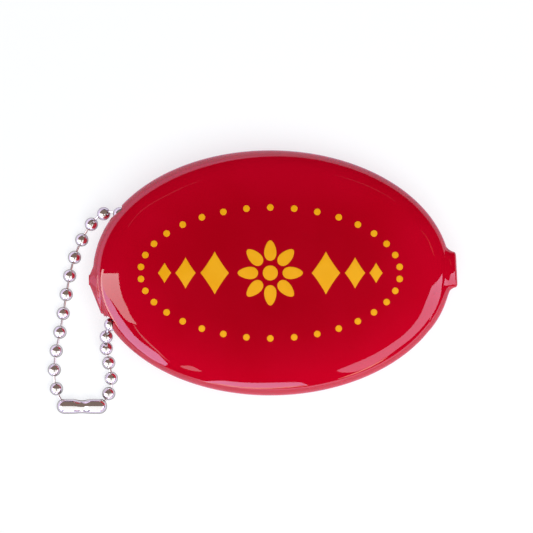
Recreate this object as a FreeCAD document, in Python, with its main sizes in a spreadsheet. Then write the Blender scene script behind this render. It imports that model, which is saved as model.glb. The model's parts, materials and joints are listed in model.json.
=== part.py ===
"""Squeeze coin purse: a hollow oval of soft vinyl, slit along its back, with a ball key chain at one end.

The purse lies on its back as on a table. +X points along the oval to its nub, +Y across the oval, and +Z up
through the front. The origin is on the table, under the middle of the oval. Lengths are in millimetres.
"""
import os

import FreeCAD
import Part

Vector = FreeCAD.Vector

SIZES = {
    # The vinyl purse
    "oval_length": 80.8,        # along the oval, without its nub and stub
    "oval_width": 55.0,         # across the oval
    "rim_height": 7.6,          # from the table to the rim, where the oval is widest
    "front_rise": 8.4,          # from the rim to the top of the domed front
    "back_drop": 8.0,           # from the rim to where the back would end if it weren't flattened
    "wall": 1.6,                # thickness of the vinyl
    # The nub at the right end, which flares into the oval
    "nub_reach": 1.6,           # how far it stands out past the oval
    "nub_width": 9.2,
    "nub_thickness": 5.0,
    "nub_corner": 1.7,          # rounding of its section
    "nub_flare": 1.6,           # how much wider its root is on each side
    "nub_root": 3.8,            # how far inside the oval's end its root lies
    "nub_offset": 0.9,          # its middle, off the oval's centre line
    "nub_rounding": 0.7,        # rounding of its end face
    # The trimmed moulding stub at the left end
    "stub_reach": 0.5,
    "stub_width": 3.6,
    "stub_thickness": 2.4,
    "stub_offset": -1.2,
    # The lips, which roll apart about a line along the purse at the height of its rim
    "slit_gap": 0.3,            # between the two lips when the purse is closed
    "lip_radius": 10.0,         # from the roll line to the lip's outer edge, at mid-length
    "lip_half_length": 33.0,    # of the pointed oval that both lips fill
    "lip_shift": 3.0,           # its middle, from the oval's middle towards the nub
    "lip_clearance": 0.15,      # between the lips' outer edges and the shell
    # The ball chain
    "ball_diameter": 3.0,
    "ball_wall": 0.15,
    "ball_hole": 0.78,
    "link_diameter": 0.5,
    "link_head": 0.83,
    "link_length": 2.70,        # between the middles of its two heads
    "taut_gap": 1.30,           # between two balls where the chain is pulled out
    "inner_gap": 1.00,          # inside the purse
    "slack_gap": 0.62,          # where it is pushed together
    "chain_hole": 4.0,          # the holes in the vinyl that the chain passes through
    "chain_hole_inside": 2.6,   # how far a hole is cut past its ball, into the purse
    "chain_hole_outside": 4.0,  # and out of it
    "chain_drop": 0.3,          # how far the chain lies under the level of the rim inside the purse
    # The coupling that joins the two ends of the chain
    "coupling_span": 7.9,       # between its two end balls
    "coupling_clearance": 0.08,
    "coupling_wall": 0.15,
    "coupling_slot": 1.3,
    "coupling_waist": 0.35,     # depth of the crimp at its middle
    "coupling_waist_half": 1.5,
    # Cuts run past what they cut by this much
    "overrun": 2.0,
}

# Where the chain lies, as shares of the oval's half length and half width and, for the height, of the way
# up from a ball that lies on the table to the chain's level inside the purse.
COUPLING_SHARES = (-1.050, -1.090)
TAUT_SHARES = [
    (-1.190, -0.960, 0.0),
    (-1.204, -0.810, 0.0),
    (-1.172, -0.480, 0.0),
    (-1.132, -0.130, 0.0),
    (-1.082, 0.165, 0.0),
    (-1.036, 0.310, 0.06),
    (-0.985, 0.418, 0.27),
    (-0.917, 0.488, 0.63),
]
UPPER_HOLE_SHARES = (-0.836, 0.482, 0.94)
INNER_SHARES = [
    (-0.758, 0.405, 1.0),
    (-0.712, 0.275, 1.0),
    (-0.702, 0.120, 1.0),
    (-0.728, -0.040, 1.0),
    (-0.785, -0.200, 1.0),
]
LOWER_HOLE_SHARES = (-0.886, -0.422, 0.93)
SLACK_SHARES = [
    (-0.913, -0.528, 0.58),
    (-0.912, -0.635, 0.16),
    (-0.897, -0.765, 0.0),
    (-0.886, -0.890, 0.0),
    (-0.903, -0.998, 0.0),
]
# The balls settle between their links in small steps: each round turns a ball by about this share of its tilt.
SETTLING_SHARE = 0.07
SETTLING_ROUNDS = 300

doc = FreeCAD.newDocument("squeeze_coin_purse")


def write_sheet():
    """The spreadsheet that holds every driving size under its own name."""
    table = doc.addObject("Spreadsheet::Sheet", "sizes")
    for row, (name, value) in enumerate(SIZES.items(), start=1):
        table.set(f"A{row}", name)
        table.set(f"B{row}", str(value))
        table.setAlias(f"B{row}", name)
    doc.recompute()
    return table


sheet = write_sheet()


def size(name):
    """The value of a named size."""
    return float(sheet.get(name))


def add(kind, name, **bindings):
    """A document object whose properties follow expressions of the sheet; __ in a name stands for a dot."""
    item = doc.addObject(kind, name)
    for key, expression in bindings.items():
        item.setExpression(key.replace("__", "."), expression)
    return item


def fuse(name, shapes):
    item = doc.addObject("Part::MultiFuse", name)
    item.Shapes = shapes
    return item


def cut(name, base, tool):
    item = doc.addObject("Part::Cut", name)
    item.Base = base
    item.Tool = tool
    return item


def common(name, first, second):
    item = doc.addObject("Part::MultiCommon", name)
    item.Shapes = [first, second]
    return item


def half_ellipsoid(name, along, across, tall, upper, shift="0"):
    """The upper or lower half of an ellipsoid that sits on the level of the rim."""
    item = add("Part::Ellipsoid", name, Radius1=tall, Radius2=along, Radius3=across,
               Placement__Base__x=shift, Placement__Base__z="sizes.rim_height")
    if upper:
        item.Angle1 = 0
    else:
        item.Angle2 = 0
    return item


def rounded_section(name, at, width, thickness, corner):
    """A rounded rectangle square to the purse's length, at a place along it."""
    y, z = width / 2, thickness / 2
    sides = [
        ((-y + corner, -z), (y - corner, -z)),
        ((y, -z + corner), (y, z - corner)),
        ((y - corner, z), (-y + corner, z)),
        ((-y, z - corner), (-y, -z + corner)),
    ]
    turns = [(y - corner, corner - z), (y - corner, z - corner), (corner - y, z - corner),
             (corner - y, corner - z)]
    outward = [(1, -1), (1, 1), (-1, 1), (-1, -1)]
    half = corner / 2 ** 0.5
    edges = []
    for index, (start, end) in enumerate(sides):
        nearest = sides[(index + 1) % len(sides)][0]
        middle = (turns[index][0] + outward[index][0] * half, turns[index][1] + outward[index][1] * half)
        edges.append(Part.LineSegment(Vector(0, *start), Vector(0, *end)).toShape())
        edges.append(Part.Arc(Vector(0, *end), Vector(0, *middle), Vector(0, *nearest)).toShape())
    item = doc.addObject("Part::Feature", name)
    item.Shape = Part.Wire(edges)
    item.Placement.Base = Vector(at, size("nub_offset"), size("rim_height"))
    return item


def end_nub():
    """The square nub: narrow at its end and flaring towards the oval, with a rounded end face."""
    end = size("oval_length") / 2 + size("nub_reach")
    oval_end = size("oval_length") / 2
    flare = size("nub_flare")
    corner = size("nub_corner")
    width = size("nub_width")
    thickness = size("nub_thickness")
    sections = [
        rounded_section("nub_root_section", oval_end - size("nub_root"), width + 2 * flare, thickness, corner),
        rounded_section("nub_neck_section", oval_end, width, thickness, corner),
        rounded_section("nub_end_section", end, width, thickness, corner),
    ]
    flared = doc.addObject("Part::Loft", "flared_nub")
    flared.Sections = sections
    flared.Solid = True
    flared.Ruled = False
    doc.recompute()
    nub = doc.addObject("Part::Fillet", "end_nub")
    nub.Base = flared
    rounding = size("nub_rounding")
    nub.Edges = [(number, rounding, rounding)
                 for number, edge in enumerate(flared.Shape.Edges, start=1)
                 if edge.BoundBox.XMin > end - rounding]
    return nub


def trimmed_stub():
    """What is left of the moulding stub at the left end, a small flat block."""
    return add("Part::Box", "trimmed_stub", Length="sizes.wall + sizes.stub_reach", Width="sizes.stub_width",
               Height="sizes.stub_thickness",
               Placement__Base__x="-sizes.oval_length / 2 - sizes.stub_reach",
               Placement__Base__y="sizes.stub_offset - sizes.stub_width / 2",
               Placement__Base__z="sizes.rim_height - sizes.stub_thickness / 2")


def hollow_purse():
    """The whole vinyl oval before the slit and the chain holes are cut: walls, nub, stub and flat back."""
    outside = fuse("outside", [
        half_ellipsoid("front_outside", "sizes.oval_length / 2", "sizes.oval_width / 2", "sizes.front_rise", True),
        half_ellipsoid("back_outside", "sizes.oval_length / 2", "sizes.oval_width / 2", "sizes.back_drop", False),
        end_nub(),
        trimmed_stub(),
    ])
    inner_length = "sizes.oval_length / 2 - sizes.wall"
    inner_width = "sizes.oval_width / 2 - sizes.wall"
    back_inside = half_ellipsoid("back_inside", inner_length, inner_width, "sizes.back_drop - sizes.wall", False)
    below_floor = add("Part::Box", "below_floor", Length="sizes.oval_length", Width="sizes.oval_width",
                      Height="sizes.wall + sizes.overrun",
                      Placement__Base__x="-sizes.oval_length / 2", Placement__Base__y="-sizes.oval_width / 2",
                      Placement__Base__z="-sizes.overrun")
    inside = fuse("inside", [
        half_ellipsoid("front_inside", inner_length, inner_width, "sizes.front_rise - sizes.wall", True),
        cut("back_inside_floored", back_inside, below_floor),
    ])
    below_table = add("Part::Box", "below_table", Length="sizes.oval_length", Width="sizes.oval_width",
                      Height="sizes.back_drop", Placement__Base__x="-sizes.oval_length / 2",
                      Placement__Base__y="-sizes.oval_width / 2", Placement__Base__z="-sizes.back_drop")
    return cut("hollow_purse", cut("flat_backed", outside, below_table), inside)


def chain_point(shares):
    """A point of the chain's route from its shares."""
    ball = size("ball_diameter") / 2
    rise = size("rim_height") - size("chain_drop") - ball
    return Vector(shares[0] * size("oval_length") / 2, shares[1] * size("oval_width") / 2,
                  ball + shares[2] * rise)


def coupling_radius():
    return size("ball_diameter") / 2 + size("coupling_clearance") + size("coupling_wall")


def coupling_middle():
    place = chain_point(COUPLING_SHARES + (0.0,))
    place.z = coupling_radius()
    return place


def spread(curve, start, end, gap):
    """Places for balls along a stretch of the route, evenly spaced and nearly the wanted gap apart."""
    stretch = Part.Edge(curve, curve.parameter(start), curve.parameter(end))
    count = round(stretch.Length / (size("ball_diameter") + gap))
    return stretch.discretize(Number=count + 1)


def chain_places():
    """The middles of all balls in order, and the numbers of the two that sit in the holes of the purse."""
    reach = Vector(size("coupling_span") / 2, 0, 0)
    taut_end = coupling_middle() - reach
    slack_end = coupling_middle() + reach
    upper = chain_point(UPPER_HOLE_SHARES)
    lower = chain_point(LOWER_HOLE_SHARES)
    route = [taut_end]
    route += [chain_point(shares) for shares in TAUT_SHARES]
    route += [upper]
    route += [chain_point(shares) for shares in INNER_SHARES]
    route += [lower]
    route += [chain_point(shares) for shares in SLACK_SHARES]
    route += [slack_end]
    curve = Part.BSplineCurve()
    curve.interpolate(route)
    taut = spread(curve, taut_end, upper, size("taut_gap"))
    inner = spread(curve, upper, lower, size("inner_gap"))
    slack = spread(curve, lower, slack_end, size("slack_gap"))
    places = taut + inner[1:] + slack[1:]
    lowest = size("ball_diameter") / 2
    places = [Vector(place.x, place.y, max(place.z, lowest)) for place in places]
    return places, len(taut) - 1, len(taut) + len(inner) - 2


def turned_to(direction):
    """The turn that takes +Z to a direction."""
    return FreeCAD.Rotation(Vector(0, 0, 1), direction)


def link_ends(places, directions):
    """Where each link leaves one ball's wall and enters the next one's."""
    reach = (size("ball_diameter") - size("ball_wall")) / 2
    return [(places[index] + directions[index] * reach, places[index + 1] - directions[index + 1] * reach)
            for index in range(len(places) - 1)]


def ball_directions(places):
    """The way each ball's pair of holes points, once it has settled so that its two links tilt in it alike."""
    last = len(places) - 1
    directions = []
    for index in range(len(places)):
        along = places[min(index + 1, last)] - places[max(index - 1, 0)]
        directions.append(along.normalize())
    for _ in range(SETTLING_ROUNDS):
        links = [(enters - leaves).normalize() for leaves, enters in link_ends(places, directions)]
        around = [(links[max(index - 1, 0)] + links[min(index, last - 1)]) * SETTLING_SHARE
                  for index in range(len(places))]
        directions = [(direction + pull).normalize() for direction, pull in zip(directions, around)]
    return directions


def chain_ball(name):
    """A hollow ball with a hole at each end of its axis."""
    outer = add("Part::Sphere", name + "_outer", Radius="sizes.ball_diameter / 2")
    inner = add("Part::Sphere", name + "_inner", Radius="sizes.ball_diameter / 2 - sizes.ball_wall")
    holes = add("Part::Cylinder", name + "_holes", Radius="sizes.ball_hole / 2",
                Height="sizes.ball_diameter + 2 * sizes.overrun",
                Placement__Base__z="-sizes.ball_diameter / 2 - sizes.overrun")
    return cut(name, outer, fuse(name + "_hollow", [inner, holes]))


def chain_link(name):
    """A pin with a round head at each end, which two balls close over."""
    pin = add("Part::Cylinder", name + "_pin", Radius="sizes.link_diameter / 2", Height="sizes.link_length",
              Placement__Base__z="-sizes.link_length / 2")
    ends = [add("Part::Sphere", f"{name}_head_{side}", Radius="sizes.link_head / 2",
                Placement__Base__z=f"{sign}sizes.link_length / 2")
            for side, sign in (("near", "-"), ("far", ""))]
    return fuse(name, [pin] + ends)


def chain_coupling():
    """The connector: a thin tube with round ends and a crimped waist, slotted along the inside of the loop."""
    inner = size("ball_diameter") / 2 + size("coupling_clearance")
    half = size("coupling_span") / 2

    def profile(name, radius):
        waist = size("coupling_waist_half")
        crimp = radius - size("coupling_waist")
        end = half + radius
        slope = radius / 2 ** 0.5
        edges = [
            Part.LineSegment(Vector(-end, 0, 0), Vector(end, 0, 0)).toShape(),
            Part.Arc(Vector(end, 0, 0), Vector(half + slope, slope, 0), Vector(half, radius, 0)).toShape(),
            Part.LineSegment(Vector(half, radius, 0), Vector(waist, radius, 0)).toShape(),
            Part.Arc(Vector(waist, radius, 0), Vector(0, crimp, 0), Vector(-waist, radius, 0)).toShape(),
            Part.LineSegment(Vector(-waist, radius, 0), Vector(-half, radius, 0)).toShape(),
            Part.Arc(Vector(-half, radius, 0), Vector(-half - slope, slope, 0), Vector(-end, 0, 0)).toShape(),
        ]
        outline = doc.addObject("Part::Feature", name + "_profile")
        outline.Shape = Part.Face(Part.Wire(edges))
        solid = doc.addObject("Part::Revolution", name)
        solid.Source = outline
        solid.Axis = Vector(1, 0, 0)
        solid.Solid = True
        return solid

    tube = cut("coupling_tube", profile("coupling_outside", inner + size("coupling_wall")),
               profile("coupling_inside", inner))
    slot = add("Part::Box", "coupling_slot", Width="sizes.ball_diameter", Height="sizes.coupling_slot",
               Length="sizes.coupling_span + 2 * sizes.ball_diameter",
               Placement__Base__x="-sizes.coupling_span / 2 - sizes.ball_diameter",
               Placement__Base__z="-sizes.coupling_slot / 2")
    coupling = cut("chain_coupling", tube, slot)
    coupling.Placement.Base = coupling_middle()
    return coupling


def chain_hole(name, ball, outer_ball):
    """The hole through the vinyl along the chain, from inside the purse past its ball and out."""
    way = (outer_ball - ball).normalize()
    hole = add("Part::Cylinder", name, Radius="sizes.chain_hole / 2",
               Height="sizes.chain_hole_inside + sizes.chain_hole_outside")
    hole.Placement = FreeCAD.Placement(ball - way * size("chain_hole_inside"), turned_to(way))
    return hole


def slit_half(name, upper):
    """Everything on one side of the slit, as a block for cutting out one lip."""
    near = "sizes.slit_gap / 2" if upper else "-sizes.slit_gap / 2 - sizes.oval_width / 2"
    return add("Part::Box", name, Length="sizes.oval_length", Width="sizes.oval_width / 2",
               Height="sizes.rim_height + sizes.overrun", Placement__Base__x="-sizes.oval_length / 2",
               Placement__Base__y=near, Placement__Base__z="-sizes.overrun")


def purse_pieces(places, upper_index, lower_index):
    """The shell with its slit and chain holes, and the two lips that fill the slit."""
    purse = hollow_purse()
    lip_zone = half_ellipsoid("lip_zone", "sizes.lip_half_length", "sizes.lip_radius", "sizes.lip_radius",
                              False, "sizes.lip_shift")
    lip_room = half_ellipsoid("lip_room", "sizes.lip_half_length + sizes.lip_clearance",
                              "sizes.lip_radius + sizes.lip_clearance",
                              "sizes.lip_radius + sizes.lip_clearance", False, "sizes.lip_shift")
    holes = [
        chain_hole("upper_chain_hole", places[upper_index], places[upper_index - 1]),
        chain_hole("lower_chain_hole", places[lower_index], places[lower_index + 1]),
    ]
    shell = cut("vinyl_shell", purse, fuse("shell_openings", [lip_room] + holes))
    lips = common("both_lips", purse, lip_zone)
    return [
        shell,
        common("upper_lip", lips, slit_half("upper_side", True)),
        common("lower_lip", lips, slit_half("lower_side", False)),
    ]


def chain_pieces(places):
    """Every ball and link at its place, and the coupling."""
    directions = ball_directions(places)
    pieces = []
    for number, (place, direction) in enumerate(zip(places, directions), start=1):
        ball = chain_ball(f"ball_{number:02d}")
        ball.Placement = FreeCAD.Placement(place, turned_to(direction))
        pieces.append(ball)
    for number, (leaves, enters) in enumerate(link_ends(places, directions), start=1):
        link = chain_link(f"link_{number:02d}")
        link.Placement = FreeCAD.Placement((leaves + enters) / 2, turned_to(enters - leaves))
        pieces.append(link)
    pieces.append(chain_coupling())
    return pieces


def check(pieces):
    """Stops if anything in the document failed or a piece has no sound solid."""
    for item in doc.Objects:
        if "Invalid" in item.State or "Error" in item.State:
            raise RuntimeError(f"{item.Name} failed: {item.State}")
    for piece in pieces:
        if piece.Shape.isNull() or not piece.Shape.isValid() or not piece.Shape.Solids:
            raise RuntimeError(f"{piece.Label} has no sound solid")


def write(pieces):
    os.makedirs("parts", exist_ok=True)
    for piece in pieces:
        piece.Shape.exportStep(f"parts/{piece.Label}.step")


ball_places, upper_ball, lower_ball = chain_places()
parts = purse_pieces(ball_places, upper_ball, lower_ball) + chain_pieces(ball_places)
doc.recompute()
check(parts)
write(parts)
print(f"{len(parts)} pieces, {len(ball_places)} balls, {upper_ball + 1} and {lower_ball + 1} in the holes")
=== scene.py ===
# %% [markdown]
# # A squeeze coin purse on a ball chain
# The purse is one oval skin of soft, glossy vinyl. Its front is a shallow dome, its back is flatter and is
# slit along most of its length, and a loop of ball chain hangs from two holes at its left end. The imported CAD
# model is loaded first as a fixed frame. It says where every piece is and how it moves, and this lesson only
# builds finer skins and finishes around it.

# %% Load the frame
import json
import math

import bmesh
import bpy
import numpy as np
from mathutils import Matrix, Vector


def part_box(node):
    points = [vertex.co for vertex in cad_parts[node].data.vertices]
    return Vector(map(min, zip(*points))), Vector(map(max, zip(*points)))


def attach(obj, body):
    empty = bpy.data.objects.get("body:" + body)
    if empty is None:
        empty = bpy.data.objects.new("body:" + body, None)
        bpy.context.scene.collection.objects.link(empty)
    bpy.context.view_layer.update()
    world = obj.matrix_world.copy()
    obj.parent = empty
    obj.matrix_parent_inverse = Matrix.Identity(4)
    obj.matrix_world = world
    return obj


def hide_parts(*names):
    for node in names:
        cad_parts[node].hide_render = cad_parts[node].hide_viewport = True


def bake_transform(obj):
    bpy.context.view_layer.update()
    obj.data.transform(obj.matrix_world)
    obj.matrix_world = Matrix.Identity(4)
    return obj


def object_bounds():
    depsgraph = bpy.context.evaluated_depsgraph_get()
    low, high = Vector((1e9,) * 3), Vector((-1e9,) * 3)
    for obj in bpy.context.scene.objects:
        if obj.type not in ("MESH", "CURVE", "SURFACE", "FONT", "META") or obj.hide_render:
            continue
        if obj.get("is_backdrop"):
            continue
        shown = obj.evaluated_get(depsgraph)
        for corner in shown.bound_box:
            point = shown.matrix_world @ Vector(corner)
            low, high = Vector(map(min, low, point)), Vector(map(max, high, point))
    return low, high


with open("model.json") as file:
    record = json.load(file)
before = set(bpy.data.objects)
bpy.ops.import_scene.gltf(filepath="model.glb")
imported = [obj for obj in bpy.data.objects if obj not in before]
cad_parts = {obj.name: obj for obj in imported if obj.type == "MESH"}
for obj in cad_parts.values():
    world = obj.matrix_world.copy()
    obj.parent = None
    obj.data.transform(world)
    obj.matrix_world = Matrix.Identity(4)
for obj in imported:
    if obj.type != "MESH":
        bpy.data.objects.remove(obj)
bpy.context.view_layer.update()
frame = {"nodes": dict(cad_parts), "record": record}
nodes = frame["nodes"]
body_of_node = {n: body for body, held in frame["record"]["behaviour"]["bodies"].items() for n in held}
MM = 0.001

# %% [markdown]
# ## How the skins are made
# A moulded skin is a closed wall, so each piece is drawn as a row of closed loops, one loop for each step
# along the purse, and neighbouring loops are joined by quads. A subdivision surface over a coarse cage could
# do it too, but gloss shows every ripple, and points that lie exactly on the oval's own formula give a
# cleaner reflection.

# %% Skin a row of loops
CREASE_DEG = 32
WELD = 1e-8


def put_in_scene(name, data):
    """A new object that shows the given mesh, lamp or camera."""
    thing = bpy.data.objects.new(name, data)
    bpy.context.scene.collection.objects.link(thing)
    return thing


def mesh_piece(name, points, faces, crease_deg=CREASE_DEG):
    """A smooth mesh object from points in millimetres, with its sharp edges kept sharp."""
    mesh = bpy.data.meshes.new(name)
    mesh.from_pydata([Vector(p) * MM for p in points], [], faces)
    work = bmesh.new()
    work.from_mesh(mesh)
    bmesh.ops.remove_doubles(work, verts=work.verts, dist=WELD)
    bmesh.ops.recalc_face_normals(work, faces=work.faces)
    work.to_mesh(mesh)
    work.free()
    mesh.shade_smooth()
    mesh.set_sharp_from_angle(angle=math.radians(crease_deg))
    return put_in_scene(name, mesh)


def skin(name, loops, caps=()):
    """Joins loops of equally many points into one surface; caps lists the loops that are filled in."""
    count = len(loops[0])
    points = [p for loop in loops for p in loop]
    faces = []
    for j in range(len(loops) - 1):
        for i in range(count):
            k = (i + 1) % count
            faces.append((j * count + i, j * count + k, (j + 1) * count + k, (j + 1) * count + i))
    for j in caps:
        faces.append([j % len(loops) * count + i for i in range(count)])
    return mesh_piece(name, points, faces)


def steps(start, end, count):
    """Evenly spaced values from start to end, both included."""
    return [start + (end - start) * i / count for i in range(count + 1)]


def smooth(share):
    """A share between 0 and 1, eased at both ends."""
    share = min(1.0, max(0.0, share))
    return share * share * (3 - 2 * share)


print("skins keep creases of more than", CREASE_DEG, "degrees sharp")

# %% [markdown]
# ## The domed front
# The front is half of a flattened ball. A UV sphere has its poles on top, where the print and the light are;
# here the poles are turned to the two ends of the oval, under the nub and the stub, so the face is an even
# grid. The loop of each step goes over the dome outside and comes back inside, which gives the wall its
# thickness. A fine groove is left at the rim, where the two halves of the mould met.

# %% Front skin
HALF_LENGTH, HALF_WIDTH = 40.4, 27.5
RIM, RISE, DROP = 7.6, 8.4, 8.0
WALL = 1.6
PARTING = 0.05
DRAW_IN = 0.016
EDGE = math.radians(89.4)
ALONG = steps(0.0, math.pi, 168)
FRONT_STEPS, FRONT_INSIDE_STEPS = 112, 56


def front_point(along, side, inset=0.0):
    """A point of the dome: along runs from the nub's end to the chain's, side from rim to rim over it."""
    return (
        (HALF_LENGTH - inset) * math.cos(along),
        (HALF_WIDTH - inset) * math.sin(along) * math.sin(side),
        RIM + (RISE - inset) * math.sin(along) * math.cos(side),
    )


def rim_point(along, side, inset):
    return front_point(along, side * math.pi / 2, inset)


def front_loop(along):
    outside = [front_point(along, s) for s in steps(-EDGE, EDGE, FRONT_STEPS)]
    inside = [front_point(along, s, WALL) for s in steps(math.pi / 2, -math.pi / 2, FRONT_INSIDE_STEPS)]
    return outside + [rim_point(along, 1, PARTING)] + inside + [rim_point(along, -1, PARTING)]


def drawn_in(loops):
    """The same loops with the chain's end of the oval drawn in a little, as the trimmed end is."""
    def pulled(x):
        return x * (1 - DRAW_IN * (min(0.0, x) / HALF_LENGTH) ** 2)

    return [[(pulled(x), y, z) for x, y, z in loop] for loop in loops]


front = skin("front_skin", drawn_in([front_loop(a) for a in ALONG]))
print("front skin:", len(front.data.polygons), "faces")

# %% [markdown]
# ## The slit back
# The back is shallower, lies flat on the table in the middle, and is cut along the purse's length. Each side
# of the slit is made as a skin of its own, because each bends away with its own lip. The edges of the cut are
# rounded over, and towards the two ends of the slit the gap and the rounding fade away, as in a knife cut.

# %% Two back skins
SLIT_MIDDLE, SLIT_HALF = 3.0, 30.3
SLIT_GAP = 0.15
LIP_ROUND, LEAST_ROUND = 0.5, 0.01
REST_SOFT = 0.15
BACK_STEPS, BACK_INSIDE_STEPS, LIP_STEPS = 60, 30, 6


def slit_share(x):
    """1 at the middle of the slit, falling to 0 at its ends and beyond."""
    return max(0.0, 1 - ((x - SLIT_MIDDLE) / SLIT_HALF) ** 2)


def back_height(x, y, inset=0.0):
    """Height of the back's skin, eased where the round back meets its flat rest."""
    room = 1 - (x / (HALF_LENGTH - inset)) ** 2 - (y / (HALF_WIDTH - inset)) ** 2
    above = RIM - (DROP - inset) * math.sqrt(max(0.0, room)) - inset
    return inset + (above + math.sqrt(above * above + REST_SOFT ** 2)) / 2


def back_row(along, inset, sides, start):
    """Points from the slit's edge to the rim on one side, start being the distance from the middle line."""
    x = (HALF_LENGTH - inset) * math.cos(along)
    reach = (HALF_WIDTH - inset) * math.sin(along)
    start = min(start, reach)
    found = []
    for s in sides:
        y = start + (reach - start) * math.sin(s)
        found.append((x, y, back_height(x, y, inset)))
    return found


def lip_edge(along, inset, radius, turn):
    """The rounded edge of the cut, on the outside (turn 1) or the inside (turn -1) of the wall."""
    x = (HALF_LENGTH - inset) * math.cos(along)
    reach = (HALF_WIDTH - inset) * math.sin(along)
    gap = min(SLIT_GAP * slit_share(x), reach)
    radius = min(radius, reach - gap)
    height = back_height(x, gap + radius, inset)
    arc = steps(0.0, math.pi / 2, LIP_STEPS)[1:]
    return [(x, gap + radius * (1 - math.sin(a)), height + turn * radius * (1 - math.cos(a))) for a in arc]


def back_loop(along):
    x = HALF_LENGTH * math.cos(along)
    radius = LEAST_ROUND + LIP_ROUND * slit_share(x)
    start = SLIT_GAP * slit_share(x) + radius
    outside = back_row(along, 0.0, steps(EDGE, 0.0, BACK_STEPS), start)
    inside = back_row(along, WALL, steps(0.0, math.pi / 2, BACK_INSIDE_STEPS), start)
    cut = lip_edge(along, 0.0, radius, 1) + lip_edge(along, WALL, radius, -1)[::-1]
    return outside + cut + inside + [rim_point(along, 1, PARTING)]


back_loops = drawn_in([back_loop(a) for a in ALONG])
upper_back = skin("upper_back_skin", back_loops)
lower_back = skin("lower_back_skin", [[(x, -y, z) for x, y, z in loop] for loop in back_loops])
print("back skins:", len(upper_back.data.polygons), "faces each, slit", 2 * SLIT_HALF, "mm long")

# %% [markdown]
# ## The nub and the stub
# Vinyl was poured and closed at the right end, which leaves a square nub that grows out of the dome with a
# hollow curve. A box with a bevel would sit on the dome with a hard line, so each cross-section is worked out
# as the larger of the dome's own section and the nub's, with the corner between the two melted. The nub's top
# falls away to its end like a tongue. The low wedge at the other end is where the moulding was trimmed off.
# The roots of both are tucked in under the skin.

# %% Sections that melt into the dome
def melted_larger(a, b, melt):
    """The larger of two values, with the corner between them rounded over the given width."""
    apart = max(0.0, 1 - abs(a - b) / melt)
    return max(a, b) + melt * apart ** 3 / 6


def boxy_reach(turn, half_wide, half_high, power):
    """Distance from the middle of a rounded box to its edge in the direction turn."""
    across = abs(math.cos(turn) / half_wide) ** power + abs(math.sin(turn) / half_high) ** power
    return across ** (-1 / power)


def dome_reach(turn, x, offset):
    """Distance from the tab's own middle line to the purse's skin at this x."""
    left = 1 - (x / HALF_LENGTH) ** 2
    if left <= 0:
        return 0.0
    wide = HALF_WIDTH * math.sqrt(left)
    high = (RISE if math.sin(turn) > 0 else DROP) * math.sqrt(left)
    u, v, o = math.cos(turn) / wide, math.sin(turn) / high, offset / wide
    need = u * u + v * v
    inside = (u * o) ** 2 - need * (o * o - 1)
    return max(0.0, (-u * o + math.sqrt(max(0.0, inside))) / need)


print("the dome's widest section reaches", round(dome_reach(0.0, 0.0, 0.0), 2), "mm to its side")

# %% Nub and stub
CROWN_RUN, FLARE_RUN, LIFT_RUN = 3.4, 4.0, 1.8
TUCK, TUCK_SHARE = 3.0, 0.35
UNDER_SKIN, ROOT_SINK = 0.02, 0.6
SIDE_POWER = 8
TAB_STEPS, TIP_STEPS, TAB_POINTS = 40, 6, 128


def tab(name, end, tip, root, offset, wide, high, flare, lift, curve, crown, rounding, corner,
        melt, side_melt, power, skew):
    """A moulded tab on one end of the oval, end being 1 for the right end and -1 for the left."""
    straight = tip - rounding
    stations = [(x, 0.0) for x in steps(root, straight, TAB_STEPS)]
    stations += [(straight + rounding * math.sin(a), rounding * (1 - math.cos(a)))
                 for a in steps(0.0, math.pi / 2, TIP_STEPS)[1:]]
    loops = []
    for x, shrink in stations:
        inwards = max(0.0, straight - x)
        half_wide = wide + flare * min(FLARE_RUN, inwards) ** curve - corner * shrink
        fall = crown * max(0.0, x - tip + CROWN_RUN) ** 2
        half_high = high + lift * min(LIFT_RUN, inwards) - fall - shrink
        tuck = smooth(1 - (x - root) / (TUCK_SHARE * (tip - root)))
        sink = UNDER_SKIN + ROOT_SINK * tuck
        loop = []
        for turn in steps(0.0, 2 * math.pi, TAB_POINTS)[:-1]:
            own = boxy_reach(turn, half_wide, half_high, power) - TUCK * tuck
            own_melt = melt + (side_melt - melt) * math.cos(turn) ** SIDE_POWER
            reach = melted_larger(dome_reach(turn, x, offset * end) - sink, own, own_melt)
            side = end * reach * math.cos(turn)
            back = skew * (side + wide) * smooth((x - root) / (tip - root))
            loop.append((end * (x - back), offset + side, RIM + reach * math.sin(turn)))
        loops.append(loop)
    return skin(name, drawn_in(loops), caps=(-1,))


nub = tab("end_nub", 1, tip=42.0, root=33.0, offset=0.75, wide=4.0, high=2.2, flare=0.5, lift=0.0, curve=1.5,
          crown=0.106, rounding=0.5, corner=1.7, melt=0.5, side_melt=3.0, power=1.95, skew=0.05)
stub = tab("trimmed_stub", -1, tip=41.4, root=37.2, offset=-1.6, wide=1.2, high=0.35, flare=2.4, lift=0.88,
           curve=1.0, crown=0.0, rounding=0.25, corner=1.0, melt=0.35, side_melt=0.8, power=2.2, skew=0.0)
print("nub:", len(nub.data.polygons), "faces; stub:", len(stub.data.polygons), "faces")

# %% [markdown]
# ## Measuring the chain
# The chain's balls and pins lie wherever they fell, so their places are measured from the CAD meshes instead
# of being written down twice. A sphere is fitted to each ball. A pin's long direction is the main direction
# of its points, and the pin meets the ball's wall where its hole is, which gives the way each ball is
# threaded.

# %% Fit spheres and pin directions
BALL_RADIUS, BALL_WALL = 1.5, 0.15
ball_names = sorted(n for n in nodes if n.startswith("ball_"))
link_names = sorted(n for n in nodes if n.startswith("link_"))


def points_of(piece):
    """The piece's mesh points in millimetres, one row each."""
    flat = np.empty(len(piece.data.vertices) * 3)
    piece.data.vertices.foreach_get("co", flat)
    return flat.reshape(-1, 3) / MM


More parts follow.
